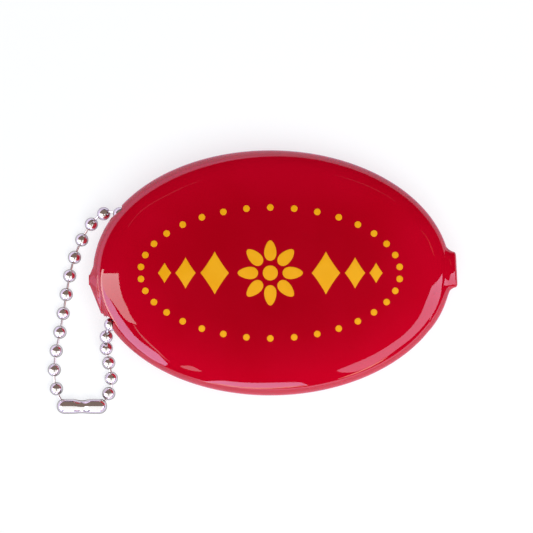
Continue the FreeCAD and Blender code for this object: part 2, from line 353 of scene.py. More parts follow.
def ball_centre(node):
    found = points_of(nodes[node])
    middle = (found.min(0) + found.max(0)) / 2
    outer = found[np.linalg.norm(found - middle, axis=1) > BALL_RADIUS - BALL_WALL / 3]
    fit = np.linalg.lstsq(np.c_[2 * outer, np.ones(len(outer))], (outer ** 2).sum(1), rcond=None)[0]
    return Vector(fit[:3])


def pin_line(node):
    found = points_of(nodes[node])
    middle = found.mean(0)
    direction = np.linalg.svd(found - middle)[2][0]
    reach = (found - middle) @ direction
    return Vector(middle + direction * (reach.min() + reach.max()) / 2), Vector(direction)


centres = [ball_centre(n) for n in ball_names]
pins = [pin_line(n) for n in link_names]
print("chain:", len(centres), "balls and", len(pins), "pins; first ball at",
      [round(v, 2) for v in centres[0]])

# %% Which way each ball is threaded
def hole_point(centre, pin):
    """Where a pin crosses the middle of the ball's wall, on the pin's side of the ball."""
    start, direction = pin
    if (start - centre).dot(direction) < 0:
        direction = -direction
    away = start - centre
    along = away.dot(direction)
    wall = BALL_RADIUS - BALL_WALL / 2
    return start + direction * (-along + math.sqrt(max(0.0, along ** 2 - away.length_squared + wall ** 2)))


def threading(i):
    """The way from one hole of a ball to its other; an end ball's second hole is opposite its first."""
    centre = centres[i]
    after = hole_point(centre, pins[i]) if i < len(pins) else None
    before = hole_point(centre, pins[i - 1]) if i > 0 else centre * 2 - after
    if after is None:
        after = centre * 2 - before
    return (after - before).normalized()


threads = [threading(i) for i in range(len(centres))]
bends = [math.degrees(threads[i].angle(threads[i + 1])) for i in range(len(threads) - 1)]
print("largest turn from one ball to the next:", round(max(bends), 1), "degrees")

# %% [markdown]
# ## Holes for the chain
# The chain goes in at one side of the left end and out at the other. Punched holes could be faked with a dark
# patch, but the wall's thickness shows in them, so round cutters are taken out of the three skins with the
# exact boolean, and its result is kept as the mesh. The cutters follow the chain, so each hole leans the way
# it runs.

# %% Cut the two holes
HOLE_RADIUS = 2.0
CUT_FROM, CUT_TO = -2.6, 4.0
CUTTER_POINTS = 64


def cutter(name, centre, towards):
    """A round cutter along the chain, from inside the purse to well outside it."""
    axis = (towards - centre).normalized()
    side = axis.orthogonal().normalized()
    up = axis.cross(side)
    loops = []
    for far in (CUT_FROM, CUT_TO):
        loops.append([centre + axis * far + (side * math.cos(t) + up * math.sin(t)) * HOLE_RADIUS
                      for t in steps(0.0, 2 * math.pi, CUTTER_POINTS)[:-1]])
    return skin(name, loops, caps=(0, -1))


def cut_out(piece, tools):
    """Takes the tools out of the piece and keeps the result as its mesh."""
    for tool in tools:
        step = piece.modifiers.new("hole", "BOOLEAN")
        step.operation, step.solver, step.object = "DIFFERENCE", "EXACT", tool
    scene_state = bpy.context.evaluated_depsgraph_get()
    scene_state.update()
    made = bpy.data.meshes.new_from_object(piece.evaluated_get(scene_state))
    piece.modifiers.clear()
    piece.data = made
    made.shade_smooth()
    made.set_sharp_from_angle(angle=math.radians(CREASE_DEG))


first_in = ball_names.index("ball_13")
first_out = ball_names.index("ball_20")
tools = [cutter("upper_hole_cutter", centres[first_in], centres[first_in - 1]),
         cutter("lower_hole_cutter", centres[first_out], centres[first_out + 1])]
for piece in (front, upper_back, lower_back):
    before = len(piece.data.polygons)
    cut_out(piece, tools)
    print(piece.name, "faces before and after the holes:", before, len(piece.data.polygons))
for tool in tools:
    bpy.data.objects.remove(tool)

# %% [markdown]
# ## Weights for the back's bend
# When the ends of the purse are squeezed, the slit gapes like an eye: widest in the middle, still closed at
# its ends, while the skin near the rim hardly moves. A weight is worked out for each point of the two back
# skins, shaped to the eye: full at the middle of the slit, and fading to nothing at its ends and the rim.

# %% Weights for the two back skins
BEND_SHARE = 0.85
TINY = 1e-6


def bend_with_lip(piece):
    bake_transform(piece)
    x, y = points_of(piece)[:, 0], np.abs(points_of(piece)[:, 1])
    lengthwise = np.clip(1 - ((x - SLIT_MIDDLE) / SLIT_HALF) ** 2, 0, 1)
    reach = HALF_WIDTH * np.sqrt(np.clip(1 - (x / HALF_LENGTH) ** 2, TINY, 1))
    crosswise = np.clip(1 - y / (BEND_SHARE * reach), 0, 1)
    weights = lengthwise * crosswise * crosswise * (3 - 2 * crosswise)
    return weights


for piece, body, side in ((upper_back, "upper_lip", 1), (lower_back, "lower_lip", -1)):
    weights = bend_with_lip(piece)
    print(piece.name, "follows", body, "with weights up to", round(float(weights.max()), 3))
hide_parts("upper_lip")
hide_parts("lower_lip")
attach(front, "purse")
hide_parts("vinyl_shell")
for piece in (nub, stub):
    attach(piece, "purse")
vinyl_pieces = [front, upper_back, lower_back, nub, stub]

# %% [markdown]
# ## Balls of the chain
# Each ball is rolled from a strip of thin metal, so it is hollow, has a fine seam from hole to hole where the
# strip's edges meet, and the rims of its holes are turned in. A plain sphere would lose all of that. Here a
# profile is turned round the threading direction, and the points next to the seam are pressed in. The seams
# of neighbouring balls point different ways, as nothing lines them up.

# %% Turn one ball
HOLE_SHARE = 0.26
ROLL_START, ROLL_REACH, ROLL_DIP = 1.18, 1.07, 0.01
INSIDE_STEPS, OUTSIDE_STEPS = 10, 30


def arc_points(radius, start, end, count):
    return [(radius * math.cos(t), radius * math.sin(t)) for t in steps(start, end, count)]


def ball_profile():
    """The inside, one hole's rolled rim and the outside, each as (along the thread, away from it)."""
    lip = math.asin(HOLE_SHARE)
    inside = arc_points(BALL_RADIUS - BALL_WALL, lip, math.pi - lip, INSIDE_STEPS)
    rolled = [(BALL_RADIUS * math.cos(lip) - ROLL_DIP, BALL_RADIUS * math.sin(lip) * ROLL_REACH)]
    outside = arc_points(BALL_RADIUS, lip * ROLL_START, math.pi - lip * ROLL_START, OUTSIDE_STEPS)
    return inside, rolled, outside


inside_curve, rolled_rim, outside_curve = ball_profile()
print("ball profile:", len(inside_curve), "points inside,", len(outside_curve), "outside")

# %% Place the balls
SEAM_DEPTH = 0.035
SEAM_DEG = (-7.0, -3.5, -1.4, 0.0, 1.4, 3.5, 7.0)
SEAM_HALF_DEG = 3.5
PLAIN_DEG, PLAIN_STEPS = (14, 346), 38
SEAM_TURN_DEG = 137.5


def ball_piece(i):
    axis = threads[i]
    side = axis.orthogonal().normalized()
    side = Matrix.Rotation(math.radians(SEAM_TURN_DEG * i), 3, axis) @ side
    up = axis.cross(side)
    far_rim = [(-a, r) for a, r in rolled_rim]
    curve = rolled_rim + outside_curve + far_rim + inside_curve[::-1]
    outer = range(len(rolled_rim), len(rolled_rim) + len(outside_curve))
    plain_start, plain_end = (math.radians(d) for d in PLAIN_DEG)
    angles = [math.radians(d) for d in SEAM_DEG] + steps(plain_start, plain_end, PLAIN_STEPS)
    loops = []
    for turn in angles + angles[:1]:
        press = SEAM_DEPTH * max(0.0, 1 - abs(math.degrees(turn)) / SEAM_HALF_DEG)
        outwards = side * math.cos(turn) + up * math.sin(turn)
        loop = []
        for k, (a, r) in enumerate(curve):
            pull = press / BALL_RADIUS if k in outer else 0.0
            loop.append(centres[i] + (axis * a + outwards * r) * (1 - pull))
        loops.append(loop)
    return skin("rolled_" + ball_names[i], loops)


balls = []
for i, name in enumerate(ball_names):
    ball = ball_piece(i)
    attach(ball, body_of_node[name])
    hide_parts(name)
    balls.append(ball)
print(len(balls), "rolled balls of", len(balls[0].data.vertices), "points each")

# %% [markdown]
# ## The coupling
# The coupling is a thin tube closed over the chain's two end balls, pinched at its middle so that the balls
# stay apart, and slotted on the inside of the loop so that they can be snapped in. The CAD tube is pinched
# with straight sides. Here the pinch is a soft hollow, as a press leaves it, and the slot's ends are round.

# %% Pressed coupling
box_low, box_high = (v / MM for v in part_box("chain_coupling"))
coupling_middle = (box_low + box_high) / 2
TUBE_RADIUS = (box_high.z - box_low.z) / 2
TUBE_WALL = 0.15
TUBE_HALF = (box_high.x - box_low.x) / 2 - TUBE_RADIUS
SLOT_HALF, WIDEST_SLOT = 0.65, 0.95
PINCH, PINCH_HALF, PINCH_TURN = 0.58, 2.1, math.radians(60)
INSIDE_SHARE = 0.98
TUBE_POINTS, END_STEPS, RUN_STEPS = 72, 20, 48


def tube_loop(x, radius, pinch):
    """One cross-section of the tube, open towards +Y where the slot is, pressed in from above."""
    past = max(0.0, abs(x) - TUBE_HALF)
    slot = math.sqrt(max(0.0, SLOT_HALF ** 2 - past ** 2))
    opening = math.asin(min(WIDEST_SLOT, slot / max(radius, TINY))) if slot > 0 else 0.0
    outside, inside = [], []
    for t in steps(opening, 2 * math.pi - opening, TUBE_POINTS):
        here = radius - pinch * (1 + math.cos(t - PINCH_TURN)) / 2
        thin = max(0.0, here - TUBE_WALL)
        outside.append(coupling_middle + Vector((x, here * math.cos(t), here * math.sin(t))))
        inside.append(coupling_middle + Vector((x * INSIDE_SHARE, thin * math.cos(t), thin * math.sin(t))))
    return outside + inside[::-1]


round_end = [(-TUBE_HALF - TUBE_RADIUS * math.cos(a), TUBE_RADIUS * math.sin(a), 0.0)
             for a in steps(0.0, math.pi / 2, END_STEPS)]
middle_run = []
for x in steps(-TUBE_HALF, TUBE_HALF, RUN_STEPS)[1:-1]:
    pinch = PINCH * (1 + math.cos(math.pi * min(1.0, abs(x) / PINCH_HALF))) / 2
    middle_run.append((x, TUBE_RADIUS, pinch))
other_end = [(-x, r, p) for x, r, p in round_end[::-1]]
coupling = skin("pressed_coupling", [tube_loop(*station) for station in round_end + middle_run + other_end])
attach(coupling, body_of_node["chain_coupling"])
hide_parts("chain_coupling")
print("coupling:", len(coupling.data.polygons), "faces,", round(2 * (TUBE_HALF + TUBE_RADIUS), 2), "mm long")

# %% [markdown]
# ## The printed ornament
# The face carries a print in warm yellow ink. It could be painted in the material with a mask, but ink is a
# film with its own thickness and edge, so every motif is a small cushion of mesh laid on the dome. The
# ornament is a plain rosette with lozenges that shrink towards both ends, inside an oval of dots.

# %% Motif outlines
PETAL_TAPER = 0.25
LOZENGE_POWER = 0.93
PETAL_POINTS, LOZENGE_POINTS, DOT_POINTS = 28, 40, 20


def petal_outline(long, wide, turn, away):
    """A leaf shape pointing away from the middle in the direction turn."""
    found = []
    for t in steps(0.0, 2 * math.pi, PETAL_POINTS)[:-1]:
        u = away + long * math.cos(t) / 2
        v = wide * math.sin(t) * (1 - PETAL_TAPER * math.cos(t)) / 2
        found.append((u * math.cos(turn) - v * math.sin(turn), u * math.sin(turn) + v * math.cos(turn)))
    return found


def lozenge_outline(wide, high):
    """A diamond with slightly hollow sides and soft corners."""
    found = []
    for t in steps(0.0, 2 * math.pi, LOZENGE_POINTS)[:-1]:
        reach = boxy_reach(t, 1, 1, LOZENGE_POWER)
        found.append((wide * reach * math.cos(t) / 2, high * reach * math.sin(t) / 2))
    return found


def dot_outline(across):
    return arc_points(across / 2, 0.0, 2 * math.pi, DOT_POINTS)[:-1]


PETALS, PETAL_LONG, PETAL_WIDE, PETAL_AWAY = 8, 4.6, 2.7, 5.0
MIDDLE_DOT, OVAL_DOT = 3.4, 1.5
LOZENGES = ((12.4, 6.4, 9.6), (18.9, 4.6, 7.0), (23.6, 3.0, 4.6))
OVAL_DOTS, OVAL_HALF_LONG, OVAL_HALF_WIDE = 34, 29.0, 14.6
motifs = [((0.0, 0.0), dot_outline(MIDDLE_DOT))]
for k in range(PETALS):
    petal = petal_outline(PETAL_LONG, PETAL_WIDE, 2 * math.pi * k / PETALS, PETAL_AWAY)
    motifs.append(((0.0, 0.0), petal))
for x, wide, high in LOZENGES:
    for end in (-1, 1):
        motifs.append(((end * x, 0.0), lozenge_outline(wide, high)))
for k in range(OVAL_DOTS):
    turn = 2 * math.pi * (k + 0.5) / OVAL_DOTS
    motifs.append(((OVAL_HALF_LONG * math.cos(turn), OVAL_HALF_WIDE * math.sin(turn)), dot_outline(OVAL_DOT)))
print("ornament:", len(motifs), "motifs")

# %% Lay the ink on the dome
INK_FILM = 0.03
INK_CREASE_DEG = 70
OUTLINE_SHARES = (0.3, 0.6, 0.85, 0.965, 0.99, 1.0)
FILM_SHARES = (1.0, 1.0, 1.0, 1.0, 0.6, -1.0)


def on_dome(x, y, lift):
    room = 1 - (x / HALF_LENGTH) ** 2 - (y / HALF_WIDTH) ** 2
    return (x, y, RIM + RISE * math.sqrt(max(0.0, room)) + lift)


ink_points, ink_faces = [], []
for (cx, cy), outline in motifs:
    n = len(outline)
    mx = sum(p[0] for p in outline) / n
    my = sum(p[1] for p in outline) / n
    base = len(ink_points)
    ink_points.append(on_dome(cx + mx, cy + my, INK_FILM))
    for share, film in zip(OUTLINE_SHARES, FILM_SHARES):
        for px, py in outline:
            x, y = cx + mx + (px - mx) * share, cy + my + (py - my) * share
            ink_points.append(on_dome(x, y, film * INK_FILM))
    for i in range(n):
        k = (i + 1) % n
        ink_faces.append((base, base + 1 + i, base + 1 + k))
        for ring in range(len(OUTLINE_SHARES) - 1):
            a, b = base + 1 + ring * n, base + 1 + (ring + 1) * n
            ink_faces.append((a + i, b + i, b + k, a + k))
ornament = mesh_piece("printed_ornament", ink_points, ink_faces, crease_deg=INK_CREASE_DEG)
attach(ornament, "purse")
print("ink film:", len(ornament.data.polygons), "faces,", INK_FILM, "mm thick")

# %% [markdown]
# ## Shared surface effects
# Two effects turn up in more than one finish, so each is a node group with named inputs and outputs. The
# moulded skin has a faint orange-peel swell and a slow change of tone, and the ink on it shows the same
# swell. Handling leaves hair scratches and greasy smudges on vinyl, ink and metal alike. Noise in object
# space does both, and needs no unwrapping.

# %% Node helpers
def add_node(tree, kind, **settings):
    node = tree.nodes.new(kind)
    for key, value in settings.items():
        setattr(node, key, value)
    return node


def feed(tree, socket, value):
    """Links a socket to another node's output, or sets it to a plain value."""
    if isinstance(value, bpy.types.NodeSocket):
        tree.links.new(value, socket)
    else:
        socket.default_value = value


def set_inputs(tree, node, **values):
    """Feeds a node's inputs by name, with _ standing for a space."""
    for label, value in values.items():
        feed(tree, node.inputs[label.replace("_", " ")], value)


def noise(tree, place, scale, detail, rough=0.5):
    node = add_node(tree, "ShaderNodeTexNoise")
    set_inputs(tree, node, Vector=place, Scale=scale, Detail=detail, Roughness=rough)
    return node.outputs["Fac"]


def math_node(tree, operation, first, second):
    node = add_node(tree, "ShaderNodeMath", operation=operation)
    feed(tree, node.inputs[0], first)
    feed(tree, node.inputs[1], second)
    return node.outputs[0]


def remap(tree, value, low, high, start=0.0, end=1.0):
    """Goes from start to end, eased, while the value goes from low to high, and stays level beyond them."""
    node = add_node(tree, "ShaderNodeMapRange", interpolation_type="SMOOTHSTEP")
    set_inputs(tree, node, Value=value, From_Min=low, From_Max=high, To_Min=start, To_Max=end)
    return node.outputs["Result"]


def new_group(name, inputs, outputs):
    group = bpy.data.node_groups.new(name, "ShaderNodeTree")
    for label, value in inputs:
        socket = group.interface.new_socket(label, in_out="INPUT", socket_type="NodeSocketFloat")
        socket.default_value = value
    for label in outputs:
        group.interface.new_socket(label, in_out="OUTPUT", socket_type="NodeSocketFloat")
    return group, group.nodes.new("NodeGroupInput"), group.nodes.new("NodeGroupOutput")


print("seven helpers for node trees")

# %% Group for a moulded skin
TONE_RANGE = (0.3, 0.7)
moulded, group_in, group_out = new_group("moulded_skin", [("Peel Scale", 900.0), ("Tone Scale", 45.0)],
                                         ["Swell", "Tone"])
place = moulded.nodes.new("ShaderNodeTexCoord").outputs["Object"]
peel = noise(moulded, place, group_in.outputs["Peel Scale"], detail=1.5)
slow = noise(moulded, place, group_in.outputs["Tone Scale"], detail=3.0)
set_inputs(moulded, group_out, Swell=peel, Tone=remap(moulded, slow, *TONE_RANGE))
print("group:", moulded.name)

# %% Group for handling
SCRATCH_TURNS = ((0.12, 0.2, 0.4), (0.45, 0.2, 1.5), (0.78, 0.2, 2.6))
SCRATCH_STRETCH = (0.05, 3.2, 1.0)
SCRATCH_RANGE, SMUDGE_RANGE = (0.70, 0.76), (0.42, 0.75)
handling, group_in, group_out = new_group("handling_marks",
                                          [("Scratch Scale", 260.0), ("Smudge Scale", 120.0)],
                                          ["Scratch", "Smudge"])
place = handling.nodes.new("ShaderNodeTexCoord").outputs["Object"]
scratch = None
for turn in SCRATCH_TURNS:
    stretch = add_node(handling, "ShaderNodeMapping")
    set_inputs(handling, stretch, Vector=place, Rotation=turn, Scale=SCRATCH_STRETCH)
    grain = noise(handling, stretch.outputs["Vector"], group_in.outputs["Scratch Scale"], detail=2.0)
    lines = remap(handling, grain, *SCRATCH_RANGE)
    scratch = lines if scratch is None else math_node(handling, "MAXIMUM", scratch, lines)
smudge = noise(handling, place, group_in.outputs["Smudge Scale"], detail=4.0, rough=0.6)
set_inputs(handling, group_out, Scratch=scratch, Smudge=remap(handling, smudge, *SMUDGE_RANGE))
print("group:", handling.name)

# %% [markdown]
# ## Red vinyl
# The vinyl is coloured all through and comes out of a polished mould, so its shine is a clear, sharp layer
# over a soft deep red. One glossy shader could do it, but a coat over a rougher base keeps the red deep where
# nothing bright is mirrored. The skin lets a little light through, and this is painted into its colour: a
# painted lighter red towards the rim and painted shade on the crown, over the dark pocket. Tone, smudges,
# swell and scratches come from the two groups.

# %% Material helpers
MIX_FIRST, MIX_SECOND, MIX_RESULT = 6, 7, 2


def new_material(name):
    material = bpy.data.materials.new(name)
    material.use_nodes = True
    tree = material.node_tree
    shader = next(n for n in tree.nodes if n.type == "BSDF_PRINCIPLED")
    return material, tree, shader


def use_group(tree, group, **values):
    node = add_node(tree, "ShaderNodeGroup", node_tree=group)
    set_inputs(tree, node, **values)
    return node.outputs


def two_tone(tree, mask, first, second):
    """One colour where the mask is 0 and the other where it is 1; either may come from another node."""
    node = add_node(tree, "ShaderNodeMix", data_type="RGBA")
    feed(tree, node.inputs["Factor"], mask)
    for number, colour in ((MIX_FIRST, first), (MIX_SECOND, second)):
        feed(tree, node.inputs[number], (*colour, 1.0) if isinstance(colour, tuple) else colour)
    return node.outputs[MIX_RESULT]


def object_place(tree):
    """The point's X, Y and Z in the frame, in metres."""
    split = add_node(tree, "ShaderNodeSeparateXYZ")
    feed(tree, split.inputs[0], add_node(tree, "ShaderNodeTexCoord").outputs["Object"])
    return split.outputs


def spread_between(tree, mask, low, high):
    """A value that runs from low to high as the mask runs from 0 to 1."""
    node = add_node(tree, "ShaderNodeMapRange")
    set_inputs(tree, node, Value=mask, To_Min=low, To_Max=high)
    return node.outputs["Result"]


def bump(tree, shader, height, strength, distance):
    node = add_node(tree, "ShaderNodeBump")
    set_inputs(tree, node, Height=height, Strength=strength, Distance=distance)
    feed(tree, shader.inputs["Normal"], node.outputs["Normal"])


def dress(pieces, material):
    """Gives the pieces one material only."""
    for piece in pieces:
        piece.data.materials.clear()
        piece.data.materials.append(material)
    print(material.name, "on", len(pieces), "pieces")


print("seven helpers for materials")

# %% Vinyl material
LIT_RIM_REDS = ((0.53, 0.0003, 0.0125), (0.567, 0.0006, 0.0165))
SHADED_CROWN_REDS = ((0.402, 0.0002, 0.0078), (0.434, 0.0004, 0.0098))
CROWN_START, CROWN_FULL = 11.4, 16.6
VINYL_ROUGHNESS = (0.24, 0.34)
SCRATCH_SHARE = 0.25
vinyl, tree, shader = new_material("red_vinyl_gloss")
skin_marks = use_group(tree, moulded, Peel_Scale=700.0, Tone_Scale=60.0)
hand_marks = use_group(tree, handling, Scratch_Scale=300.0, Smudge_Scale=140.0)
# Painted light and shade: the base red is painted lighter at the rim and painted darker on the crown, by
# height, for the light that the skin lets through.
painted_light_rim_red = two_tone(tree, skin_marks["Tone"], *LIT_RIM_REDS)
painted_shade_crown_red = two_tone(tree, skin_marks["Tone"], *SHADED_CROWN_REDS)
crown_shade_share = remap(tree, object_place(tree)["Z"], CROWN_START * MM, CROWN_FULL * MM)
set_inputs(tree, shader, Base_Color=two_tone(tree, crown_shade_share, painted_light_rim_red, painted_shade_crown_red),
           Roughness=spread_between(tree, hand_marks["Smudge"], *VINYL_ROUGHNESS),
           Specular_IOR_Level=0.0, Coat_Weight=1.0, Coat_Roughness=0.025, Coat_IOR=1.7)
scratches = math_node(tree, "MULTIPLY", hand_marks["Scratch"], SCRATCH_SHARE)
height = math_node(tree, "SUBTRACT", skin_marks["Swell"], scratches)
bump(tree, shader, height, strength=0.12, distance=0.00004)
dress(vinyl_pieces, vinyl)

# %% [markdown]
# ## Yellow ink
# Pad-printed ink is opaque, a little duller than the vinyl, and slightly uneven where the pad pressed harder.
# It takes the vinyl's swell from the same group, at a lower strength, because ink levels itself while it
# dries.

# %% Ink material
YELLOWS = ((0.865, 0.395, 0.005), (0.895, 0.430, 0.010))
INK_ROUGHNESS = (0.32, 0.46)
ink, tree, shader = new_material("warm_yellow_ink")
skin_marks = use_group(tree, moulded, Peel_Scale=700.0, Tone_Scale=240.0)
hand_marks = use_group(tree, handling, Scratch_Scale=420.0, Smudge_Scale=300.0)
set_inputs(tree, shader, Base_Color=two_tone(tree, skin_marks["Tone"], *YELLOWS),
           Roughness=spread_between(tree, hand_marks["Smudge"], *INK_ROUGHNESS),
           Specular_IOR_Level=0.1, Coat_Weight=0.06, Coat_Roughness=0.12)
bump(tree, shader, skin_marks["Swell"], strength=0.08, distance=0.00003)
dress([ornament], ink)

# %% [markdown]
# ## Nickel plating
# The chain is plated steel: bright, slightly warm, and hazed by pockets and fingers. A perfect mirror looks
# like glass beads at this size, so smudges raise the roughness and warm the tone, and hair scratches go into
# the bump.

# %% Nickel material
NICKELS = ((0.80, 0.785, 0.765), (0.66, 0.635, 0.60))
NICKEL_ROUGHNESS = (0.09, 0.2)
nickel, tree, shader = new_material("bright_nickel")
hand_marks = use_group(tree, handling, Scratch_Scale=900.0, Smudge_Scale=520.0)
set_inputs(tree, shader, Base_Color=two_tone(tree, hand_marks["Smudge"], *NICKELS),
           Roughness=spread_between(tree, hand_marks["Smudge"], *NICKEL_ROUGHNESS),
           Metallic=1.0, Specular_Tint=(0.55, 0.53, 0.50, 1.0))
bump(tree, shader, hand_marks["Scratch"], strength=0.15, distance=0.00001)
metal_pieces = balls + [nodes[n] for n in link_names] + [coupling]
dress(metal_pieces, nickel)

# %% [markdown]
# ## Floor
# The purse lies on a plain white sweep. Lighting the floor until it burns out would wash out the purse, so
# the floor is a dull white that glows for the camera, and in mirrors, just enough to read as white paper, and
# it keeps the soft shadow. Under the purse, where no light gets in, it doesn't glow. Metal that lies on the
# floor mirrors the paper in its own shade, so the mirrored floor is grey where the ray from the metal is
# short. Seen from below the floor is clear, and it lets a lamp down there through, so that the back can be
# seen.

# %% White floor
FLOOR_HALF = 2.0
corners = [(x * FLOOR_HALF, y * FLOOR_HALF, 0.0) for x, y in ((-1, -1), (1, -1), (1, 1), (-1, 1))]
floor_mesh = bpy.data.meshes.new("white_floor")
floor_mesh.from_pydata(corners, [], [(0, 1, 2, 3)])
floor = put_in_scene("white_floor", floor_mesh)
floor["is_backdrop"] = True
floor.visible_shadow = False
print("floor:", floor.name, "of", 2 * FLOOR_HALF, "m")

# %% White paper
PLAIN_GLOW, MIRROR_GLOW = 0.72, 0.66
UNDER_PURSE = (0.55, 1.0)
NEAR_RAY, FAR_RAY = 0.002, 0.009
PLAIN_TONE, SHADE_TONE, FAR_TONE = (1.03, 1.05, 1.085), (0.50, 0.52, 0.56), (0.86, 0.76, 1.12)


def show(tree, surface):
    """Makes a shader's output the surface of its material."""
    output = next(n for n in tree.nodes if n.type == "OUTPUT_MATERIAL")
    feed(tree, output.inputs["Surface"], surface)


def mix_shader(tree, share, first, second):
    node = add_node(tree, "ShaderNodeMixShader")
    for socket, value in zip(node.inputs, (share, first, second)):
        feed(tree, socket, value)
    return node.outputs[0]


paper, tree, shader = new_material("white_paper")
set_inputs(tree, shader, Base_Color=(0.985, 0.985, 0.955, 1.0), Roughness=0.9, Specular_IOR_Level=0.0)
path = add_node(tree, "ShaderNodeLightPath").outputs
plain = math_node(tree, "MAXIMUM", path["Is Camera Ray"], path["Is Transmission Ray"])
mirrored = path["Is Glossy Ray"]
share = math_node(tree, "ADD", math_node(tree, "MULTIPLY", plain, PLAIN_GLOW),
                  math_node(tree, "MULTIPLY", mirrored, MIRROR_GLOW))
spot = object_place(tree)
along, across = (math_node(tree, "POWER", math_node(tree, "DIVIDE", spot[axis], half * MM), 2.0)
                 for axis, half in (("X", HALF_LENGTH), ("Y", HALF_WIDTH)))
clear_of_purse = remap(tree, math_node(tree, "ADD", along, across), *UNDER_PURSE)
far_off = remap(tree, path["Ray Length"], NEAR_RAY, FAR_RAY)
mirror_tone = two_tone(tree, far_off, SHADE_TONE, FAR_TONE)
glow = add_node(tree, "ShaderNodeEmission")
set_inputs(tree, glow, Color=two_tone(tree, mirrored, PLAIN_TONE, mirror_tone), Strength=1.0)
from_above = mix_shader(tree, math_node(tree, "MULTIPLY", share, clear_of_purse),
                        shader.outputs[0], glow.outputs[0])
backfacing = add_node(tree, "ShaderNodeNewGeometry").outputs["Backfacing"]
clear = add_node(tree, "ShaderNodeBsdfTransparent").outputs[0]
show(tree, mix_shader(tree, backfacing, from_above, clear))
floor_mesh.materials.append(paper)
print(paper.name, "glows", PLAIN_GLOW, "for the camera and", MIRROR_GLOW, "in mirrors")

# %% [markdown]
# ## Studio
# Gloss is mostly a picture of the room. Pale boards stand low down, highest on the far left and a little in
# front, which gives the rim its pale band, and overhead it is dark, which keeps the face deep red. The world
# holds both as a ramp on the direction's height. A large lamp above does the plain lighting and a weaker one
# below lights the back, both out of sight of the gloss.

# %% Room around the purse
LEFT_BOARD, FRONT_BOARD = (150, 0.3, 0.9, 17.0), (300, 0.5, 0.85, 6.0)
FAR_SIDE = (-0.5, 0.7)
DARK_FROM, DARK_FULL = -0.05, 0.04
NEAR_BOARDS, FAR_BOARDS, DARK = (1.6, 1.4, 2.0), (1.1, 0.85, 1.3), (0.012, 0.003, 0.005)
WHITE = (1.0, 1.0, 1.0)
world = bpy.data.worlds.new("studio_room")
bpy.context.scene.world = world
world.use_nodes = True
tree = world.node_tree
tree.nodes.clear()
way = add_node(tree, "ShaderNodeTexCoord").outputs["Generated"]
split = add_node(tree, "ShaderNodeSeparateXYZ")
feed(tree, split.inputs[0], way)


def board_rise(azimuth_deg, start, end, rise_deg):
    """How much higher the boards are towards a compass direction, as a height on the unit sphere."""
    azimuth = math.radians(azimuth_deg)
    towards = add_node(tree, "ShaderNodeVectorMath", operation="DOT_PRODUCT")
    feed(tree, towards.inputs[0], way)
    feed(tree, towards.inputs[1], (math.cos(azimuth), math.sin(azimuth), 0.0))
    return remap(tree, towards.outputs["Value"], start, end, 0.0, math.sin(math.radians(rise_deg)))


board_top = math_node(tree, "ADD", board_rise(*LEFT_BOARD), board_rise(*FRONT_BOARD))
board_colour = two_tone(tree, remap(tree, split.outputs["Y"], *FAR_SIDE), NEAR_BOARDS, FAR_BOARDS)
over = math_node(tree, "SUBTRACT", split.outputs["Z"], board_top)
room_colour = two_tone(tree, remap(tree, over, DARK_FROM, DARK_FULL), board_colour, DARK)
camera_ray = add_node(tree, "ShaderNodeLightPath").outputs["Is Camera Ray"]
background = add_node(tree, "ShaderNodeBackground")
set_inputs(tree, background, Color=two_tone(tree, camera_ray, room_colour, WHITE), Strength=1.0)
world_out = add_node(tree, "ShaderNodeOutputWorld")
feed(tree, world_out.inputs["Surface"], background.outputs[0])
print("room: pale boards low down all round, dark above")

# %% Lamps above and below
FILL_PLACE, UNDER_PLACE, PURSE_PLACE = (0.14, -0.25, 0.86), (0.0, 0.0, -0.9), (0.0, 0.0, 0.0)
LAMP_SIDE = 0.9
FILL_BRIGHTNESS, UNDER_BRIGHTNESS = 4.05, 1.4


def soft_box(name, middle, aim, wide, high, brightness, colour=WHITE):
    """A rectangular lamp whose face has the given brightness, aimed at a point, with its width level."""
    lamp = bpy.data.lights.new(name, "AREA")
    lamp.shape = "RECTANGLE"
    lamp.size, lamp.size_y = wide, high
    lamp.energy = brightness * math.pi * wide * high
    lamp.color = colour
    holder = put_in_scene(name, lamp)
    holder.location = middle
    holder.rotation_euler = (Vector(aim) - Vector(middle)).to_track_quat("-Z", "Y").to_euler()
    holder.visible_camera = False
    return holder


fill = soft_box("overhead_fill", FILL_PLACE, PURSE_PLACE, LAMP_SIDE, LAMP_SIDE, FILL_BRIGHTNESS)
under = soft_box("under_fill", UNDER_PLACE, PURSE_PLACE, LAMP_SIDE, LAMP_SIDE, UNDER_BRIGHTNESS)
fill.visible_glossy = under.visible_glossy = False
print("a large soft box above lights the purse, and one below its back, out of sight of the gloss")

# %% [markdown]
# ## Windows in the gloss
# The bright shapes in the vinyl are pictures of lit panels in the room: a tall window on the left that
# narrows downwards with a bluish one below it, a long low one on the right, a slim one in front, and thin lit
# edges beside them. Each is a strip of cloth bent round the purse, given by its lower and upper edge at a few
# compass directions, with a smooth curve through them. Three windows are brightest where they start and fade
# along their length, because an evenly lit panel looks painted on. Only gloss sees the strips, so they don't
# change how brightly the purse is lit.

# %% Gloss strips
STRIP_DISTANCE = 0.6
ROWS_BETWEEN = 6
FADE_POWER = 3


def rounded_rows(rows):
    """More rows between the given ones, on a smooth curve through them."""
    rows = np.array([rows[0], *rows, rows[-1]], float)
    found = []
    for a, b, c, d in zip(rows, rows[1:], rows[2:], rows[3:]):
        for t in np.arange(ROWS_BETWEEN) / ROWS_BETWEEN:
            found.append(b + t / 2 * (c - a + t * (2 * a - 5 * b + 4 * c - d + t * (3 * (b - c) + d - a))))
    return found + [rows[-1]]


